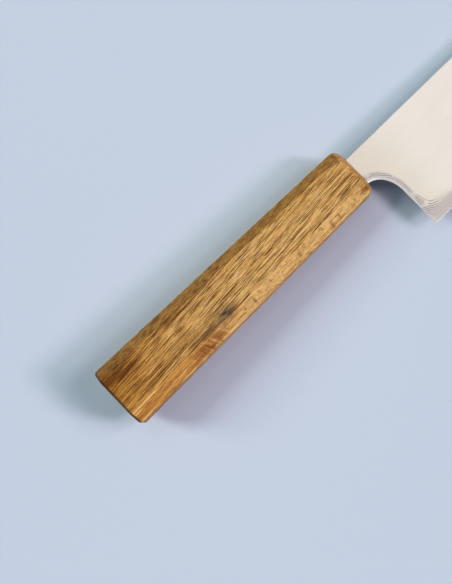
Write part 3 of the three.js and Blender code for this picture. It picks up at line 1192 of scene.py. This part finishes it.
@dataclass
class Blade:
    """The three-layer blade: two claddings with eased edges over a core that carries the edge."""

    spine_rise: float = 5.6
    neck_height: float = 13.0
    neck_length: float = 8.4
    choil_height: float = 11.5
    height: float = 43.0
    tip_x: float = 178.4
    tip_rise: float = 6.5
    belly_start: float = 88.4
    shoulder_x: float = 144.4
    half_spine: float = 1.1
    half_shoulder: float = 1.0
    half_core: float = 0.35
    weld_gap: float = 0.02
    core_band: float = 5.0
    neck_inlet: float = 4.0
    tang_length: float = 84.0
    tang_root: float = 3.8
    tang_end: float = 2.5
    ease: float = 0.55
    ease_share: float = 0.8  # most of a cladding's thickness that the easing takes
    ease_steps: int = 6
    least_mitre: float = 0.4  # keeps the easing of a sharp corner short
    curve_steps: int = 30
    wall_steps: int = 12
    halvings: int = 40  # in the search for the point where a cladding ends
    same_plane: float = 0.1  # degrees up to which neighbouring faces are one
    flank_sharp: float = 35.0  # degrees from which an edge is shaded sharp
    core_sharp: float = 12.0

    def edge_y(self) -> float:
        """Return the height of the straight edge."""
        return self.spine_rise - self.height

    def neck_y(self) -> float:
        """Return the height of the neck's lower side."""
        return self.spine_rise - self.neck_height

    def choil_y(self) -> float:
        """Return the height at which the choil's round ends in the straight heel."""
        return self.neck_y() - self.choil_height

    def belly_length(self) -> float:
        """Return the length of the edge's rising stretch along X."""
        return self.tip_x - self.belly_start

    def to_edge(self) -> float:
        """Return what half the thickness loses per millimetre towards the edge."""
        return (self.half_spine - self.half_core) / (self.height - self.core_band)

    def half_thickness(self, x: float, y: float) -> float:
        """Return half the blade's thickness at a point of its flank."""
        to_tip = (self.half_spine - self.half_shoulder) / (self.shoulder_x - self.neck_length)
        return self.half_spine - (x - self.neck_length) * to_tip - (self.spine_rise - y) * self.to_edge()

    def thin_line(self, x: float) -> float:
        """Return the height at x at which a cladding is ground away to nothing."""
        left = self.half_thickness(x, self.spine_rise) - self.half_core - self.weld_gap
        return self.spine_rise - left / self.to_edge()

    def thin_tip(self) -> Vector:
        """Find where that line meets the clip.

        Returns:
            The point.
        """
        low, high = self.shoulder_x, self.tip_x
        slope = (self.height - self.tip_rise) / (self.tip_x - self.shoulder_x)
        for _ in range(self.halvings):
            middle = (low + high) / 2
            if self.spine_rise - (middle - self.shoulder_x) * slope > self.thin_line(middle):
                low = middle
            else:
                high = middle
        return Vector((low, self.thin_line(low)))

    def outline(self) -> list[tuple[Vector, bool]]:
        """Find a cladding's outline, counter-clockwise as seen from the right.

        Returns:
            Its points, each with whether it is eased there.
        """
        inlet = -self.neck_inlet
        heel = self.neck_length
        hidden = [
            (-self.tang_length, self.tang_end),
            (-self.tang_length, -self.tang_end),
            (inlet, -self.tang_root),
        ]
        eased = [Vector((inlet, self.neck_y()))]
        for step in range(self.curve_steps + 1):
            turn = QUARTER * (1 - step / self.curve_steps)
            y = self.choil_y() + self.choil_height * math.sin(turn)
            eased.append(Vector((heel * math.cos(turn), y)))
        thin_heel = Vector((heel, self.thin_line(heel)))
        shoulder = Vector((self.shoulder_x, self.spine_rise))
        start = eased[-1]
        for end in (thin_heel, self.thin_tip(), shoulder, Vector((inlet, self.spine_rise))):
            eased += [start.lerp(end, step / self.wall_steps) for step in range(1, self.wall_steps + 1)]
            start = end
        points = [(Vector(point), False) for point in hidden]
        points += [(point, True) for point in eased]
        points.append((Vector((inlet, self.tang_root)), False))
        return points

    def inward(self, points: list[Vector]) -> list[Vector]:
        """Find the direction into a closed outline at each of its points.

        Args:
            points: The outline.

        Returns:
            The directions, longer where the outline turns.
        """
        found = []
        for i, point in enumerate(points):
            before = (point - points[i - 1]).normalized()
            after = (points[(i + 1) % len(points)] - point).normalized()
            first = Vector((-before.y, before.x))
            second = Vector((-after.y, after.x))
            found.append((first + second) / max(1 + first.dot(second), self.least_mitre))
        return found

    def cladding_mesh(self, name: str, side: int) -> bpy.types.Mesh:
        """Build one cladding: a flat inner face, walls, eased edges and one flat flank.

        Args:
            name: The mesh's name.
            side: 1 for the right flank, -1 for the left one.

        Returns:
            The mesh, in the row frame.
        """
        outline = self.outline()
        points = [point for point, _ in outline]
        inner = self.half_core + self.weld_gap
        rows = [[Vector((p.x, p.y, side * inner)) for p in points]]
        depths = []
        for point, eased in outline:
            thickness = max(self.half_thickness(point.x, point.y) - inner, 0.0)
            depths.append(min(self.ease, self.ease_share * thickness) if eased else 0.0)
        into = self.inward(points)
        for step in range(self.ease_steps + 1):
            turn = QUARTER * step / self.ease_steps
            row = []
            for point, direction, depth in zip(points, into, depths):
                place = point + direction * depth * (1 - math.cos(turn))
                drop = depth * (1 - math.sin(turn))
                z = max(self.half_thickness(place.x, place.y) - drop, inner)
                row.append(Vector((place.x, place.y, side * z)))
            rows.append(row)
        build = bmesh.new()
        verts = [[build.verts.new(point) for point in row] for row in rows]
        count = len(points)
        for low, high in zip(verts, verts[1:]):
            for i in range(count):
                after = (i + 1) % count
                build.faces.new((low[i], low[after], high[after], high[i]))
        build.faces.new(list(reversed(verts[0])))
        build.faces.new(verts[-1])
        if side < 0:
            bmesh.ops.reverse_faces(build, faces=build.faces[:])
        bmesh.ops.transform(build, matrix=LYING.matrix(), verts=build.verts[:])
        bmesh.ops.remove_doubles(build, verts=build.verts[:], dist=SAME_POINT)
        return new_mesh(name, build)

    def core_mesh(self, node: bpy.types.Object) -> bpy.types.Mesh:
        """Make a merged copy of the core, with its flat faces whole.

        Args:
            node: The CAD node.

        Returns:
            The mesh.
        """
        build = bmesh.new()
        build.from_mesh(node.data)
        bmesh.ops.remove_doubles(build, verts=build.verts[:], dist=SAME_POINT)
        flat = math.radians(self.same_plane)
        bmesh.ops.dissolve_limit(build, angle_limit=flat, verts=build.verts[:], edges=build.edges[:])
        mesh = new_mesh("core", build)
        mesh.materials.clear()
        return mesh

    def build(self, steel: BladeSteel, core_node: bpy.types.Object) -> None:
        """Build and dress the three layers.

        Args:
            steel: Their finish.
            core_node: The CAD node of the core.
        """
        finish = steel.material(self, Layer.CLADDING)
        for name, side in (("right", 1), ("left", -1)):
            piece = new_piece(f"{name}_flank", self.cladding_mesh(f"{name}_flank", side))
            piece.data.materials.append(finish)
            smooth(piece, self.flank_sharp)
            settle(piece, Layer.CLADDING.value, f"{name}_cladding")
        core = new_piece("edge_core", self.core_mesh(core_node))
        core.data.materials.append(steel.material(self, Layer.CORE))
        smooth(core, self.core_sharp)
        settle(core, Layer.CORE.value, "blade_core")


@dataclass
class TangSeat:
    """The split dowel and the epoxy behind it, which keep their CAD shapes."""

    wood: DowelWood
    resin: Resin

    def dress(self, nodes: dict[str, bpy.types.Object]) -> None:
        """Give the CAD nodes their finishes.

        Args:
            nodes: The CAD nodes by name.
        """
        wood = self.wood.material()
        finishes = {
            "right_dowel_half": wood,
            "left_dowel_half": wood,
            "tang_epoxy": self.resin.material(),
        }
        for name, finish in finishes.items():
            nodes[name].material_slots[0].material = finish
            LOG.info("%s keeps its CAD shape", name)


@dataclass
class Lamp:
    """One soft light, aimed at the knife from so far off that the whole table is lit evenly."""

    name: str
    bearing: float  # degrees from the knife's +X towards its spine
    elevation: float
    width: float  # share of the distance
    height: float  # share of the distance
    level: float  # what it adds to a white surface that faces it
    tint: Colour
    distance: float = 40.0

    def build(self, target: Vector) -> None:
        """Hang the lamp.

        Args:
            target: What it is aimed at.
        """
        data = bpy.data.lights.new(self.name, "AREA")
        data.shape = "RECTANGLE"
        data.size = self.width * self.distance
        data.size_y = self.height * self.distance
        data.energy = self.level * (math.pi * self.distance) ** 2
        data.color = self.tint
        lamp = bpy.data.objects.new(self.name, data)
        bearing = math.radians(self.bearing)
        elevation = math.radians(self.elevation)
        flat = Vector((math.cos(bearing), math.sin(bearing), 0.0)) * math.cos(elevation)
        towards = flat + Vector((0.0, 0.0, math.sin(elevation)))
        lamp.location = target + towards * self.distance
        lamp.rotation_euler = towards.to_track_quat("Z", "Y").to_euler()
        lamp.visible_glossy = False
        bpy.context.scene.collection.objects.link(lamp)


@dataclass
class Studio:
    """The table, the light and the camera."""

    target: Triple = (-70.02, 0.44, 5.0)
    camera_distance: float = 480.0
    camera_tilt: float = 7.241  # degrees from square over the knife towards its edge
    camera_lean: float = 0.88  # degrees towards its butt
    camera_roll: float = 44.127  # degrees from the image's right to the knife's +X
    focal_length: float = 1220.9  # in pixels of the image
    image_height: int = 584
    sensor: float = 36.0
    nearest: float = 0.01
    table_size: float = 12.0
    table_segments: int = 4
    fill: Colour = (0.01, 0.05, 0.1)  # what the room sends to matt surfaces
    backdrop: Colour = srgb(206, 214, 228)  # of the room as it is seen, at the table's level
    overhead: Colour = (1.0, 1.0, 1.0)  # of the room as it is seen, high up
    brightening: Rise = Rise(0.0, 0.7)  # of the room, by the height of a direction
    lamps: tuple[Lamp, ...] = (
        Lamp("key", -48.0, 35.5, 0.17, 0.22, 0.44, (1.0, 0.8, 0.87)),
        Lamp("upper_key", -32.0, 47.0, 0.28, 0.37, 0.32, (1.0, 0.95, 0.94)),
        Lamp("counter", 129.0, 36.0, 0.27, 0.48, 0.65, (0.93, 1.0, 0.9)),
        Lamp("high", 85.0, 68.0, 0.6, 0.6, 0.12, (0.93, 1.0, 0.9)),
    )

    def build_table(self, table: Table) -> None:
        """Lay the table under the knife.

        Args:
            table: Its finish.
        """
        build = bmesh.new()
        count = self.table_segments
        bmesh.ops.create_grid(build, x_segments=count, y_segments=count, size=self.table_size / 2)
        mesh = new_mesh("table", build)
        mesh.materials.append(table.material())
        new_piece("table", mesh)

    def build_light(self) -> None:
        """Hang the lamps and set the world, which camera and glossy rays see as a pale room."""
        for lamp in self.lamps:
            lamp.build(LYING.matrix() @ Vector(self.target))
        world = bpy.data.worlds.new("studio")
        world.use_nodes = True
        bpy.context.scene.world = world
        graph = Graph(world.node_tree)
        graph.tree.nodes.clear()
        path = graph.node("ShaderNodeLightPath", {}, {}, "Is Camera Ray")
        seen = path + path.also("Is Glossy Ray") + path.also("Is Transmission Ray")
        _, _, height = graph.split(graph.node("ShaderNodeTexCoord", {}, {}, "Generated"))
        room = graph.mix(self.brightening.at(height), self.backdrop, self.overhead)
        colour = graph.mix(seen, self.fill, room)
        background = graph.node("ShaderNodeBackground", {}, {"Color": colour, "Strength": 1.0})
        graph.node("ShaderNodeOutputWorld", {}, {"Surface": background})

    def build_camera(self) -> None:
        """Set the camera over the handle."""
        data = bpy.data.cameras.new("camera")
        data.sensor_width = self.sensor
        data.lens = self.focal_length * self.sensor / self.image_height
        data.clip_start = self.nearest
        camera = bpy.data.objects.new("camera", data)
        tilt = Matrix.Rotation(math.radians(self.camera_tilt), 4, "X")
        tilt = tilt @ Matrix.Rotation(math.radians(-self.camera_lean), 4, "Y")
        roll = Matrix.Rotation(math.radians(-self.camera_roll), 4, "Z")
        away = Matrix.Translation((0.0, 0.0, self.camera_distance))
        pose = LYING.matrix() @ Matrix.Translation(self.target) @ tilt @ roll @ away
        camera.location = pose.to_translation()
        camera.rotation_euler = pose.to_3x3().normalized().to_euler()
        bpy.context.scene.collection.objects.link(camera)
        bpy.context.scene.camera = camera

    def build(self, table: Table) -> None:
        """Set up everything that isn't the knife.

        Args:
            table: The table's finish.
        """
        self.build_camera()
        self.build_table(table)
        self.build_light()
        bpy.context.scene.view_settings.view_transform = "Standard"
        LOG.info("studio set up")


def main() -> None:
    """Load the frame, build the knife round it and set up the studio."""
    logging.basicConfig(level=logging.INFO, format="%(name)s: %(message)s")
    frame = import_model()
    for start in ("Cube", "Light", "Camera"):
        if start in bpy.data.objects:
            bpy.data.objects.remove(bpy.data.objects[start])
    Studio().build(Table())
    Handle().build(Oak())
    Blade().build(BladeSteel(), frame["nodes"]["blade_core"])
    NeckSeal().build(Sealant())
    TangSeat(DowelWood(), Resin()).dress(frame["nodes"])


if __name__ == "__main__":
    main()
